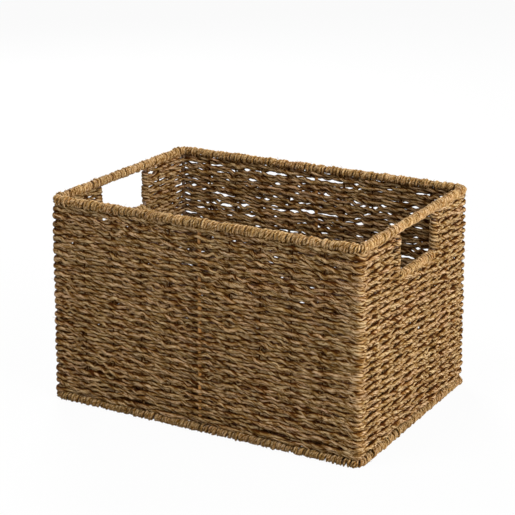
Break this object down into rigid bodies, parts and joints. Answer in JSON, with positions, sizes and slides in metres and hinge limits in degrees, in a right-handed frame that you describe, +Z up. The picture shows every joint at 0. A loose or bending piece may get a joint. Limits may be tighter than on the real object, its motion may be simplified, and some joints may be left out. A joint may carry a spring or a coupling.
{
  "type": "magazine basket",
  "caption": "Rectangular open storage basket woven from plant cord over a wire frame, with a wrapped rim and a hand hole in each end.",
  "frame": {"origin": "on the floor under the middle of the basket", "axes": "+X along the long side, towards the right end; +Y towards the back long wall; +Z up out of the mouth"},
  "size_m": [0.3584, 0.2574, 0.219],
  "materials": {
    "frame_wire": "rusty brown painted iron wire",
    "mid_hoop": "orange-brown coated iron wire",
    "upright_cord": "dark twisted two-ply plant cord",
    "weft_cord": "tan twisted two-ply plant cord",
    "wrap_strand": "golden-beige plant strand wound tight"
  },
  "bodies": {
    "root": {"rim_wire": "frame_wire", "foot_wire": "frame_wire", "corner_post_front_1": "frame_wire", "corner_post_front_2": "frame_wire", "corner_post_back_1": "frame_wire", "corner_post_back_2": "frame_wire", "left_hand_hoop": "frame_wire", "right_hand_hoop": "frame_wire", "mid_hoop": "mid_hoop", "through_cord_1": "upright_cord", "through_cord_2": "upright_cord", "through_cord_3": "upright_cord", "through_cord_4": "upright_cord", "through_cord_5": "upright_cord", "through_cord_6": "upright_cord", "through_cord_7": "upright_cord", "through_cord_8": "upright_cord", "left_cord_1": "upright_cord", "left_cord_2": "upright_cord", "left_cord_3": "upright_cord", "left_cord_4": "upright_cord", "left_cord_5": "upright_cord", "left_cord_6": "upright_cord", "left_cord_7": "upright_cord", "left_cord_8": "upright_cord", "right_cord_1": "upright_cord", "right_cord_2": "upright_cord", "right_cord_3": "upright_cord", "right_cord_4": "upright_cord", "right_cord_5": "upright_cord", "right_cord_6": "upright_cord", "right_cord_7": "upright_cord", "right_cord_8": "upright_cord", "front_weave": "weft_cord", "back_weave": "weft_cord", "left_lower_weave": "weft_cord", "left_cheek_weave_1": "weft_cord", "left_cheek_weave_2": "weft_cord", "right_lower_weave": "weft_cord", "right_cheek_weave_1": "weft_cord", "right_cheek_weave_2": "weft_cord", "base_weave": "weft_cord", "rim_wrap_front": "wrap_strand", "rim_wrap_back": "wrap_strand", "rim_wrap_left": "wrap_strand", "rim_wrap_right": "wrap_strand", "foot_wrap_front": "wrap_strand", "foot_wrap_back": "wrap_strand", "foot_wrap_left": "wrap_strand", "foot_wrap_right": "wrap_strand", "left_sill_wrap": "wrap_strand", "right_sill_wrap": "wrap_strand"}
  },
  "joints": []
}
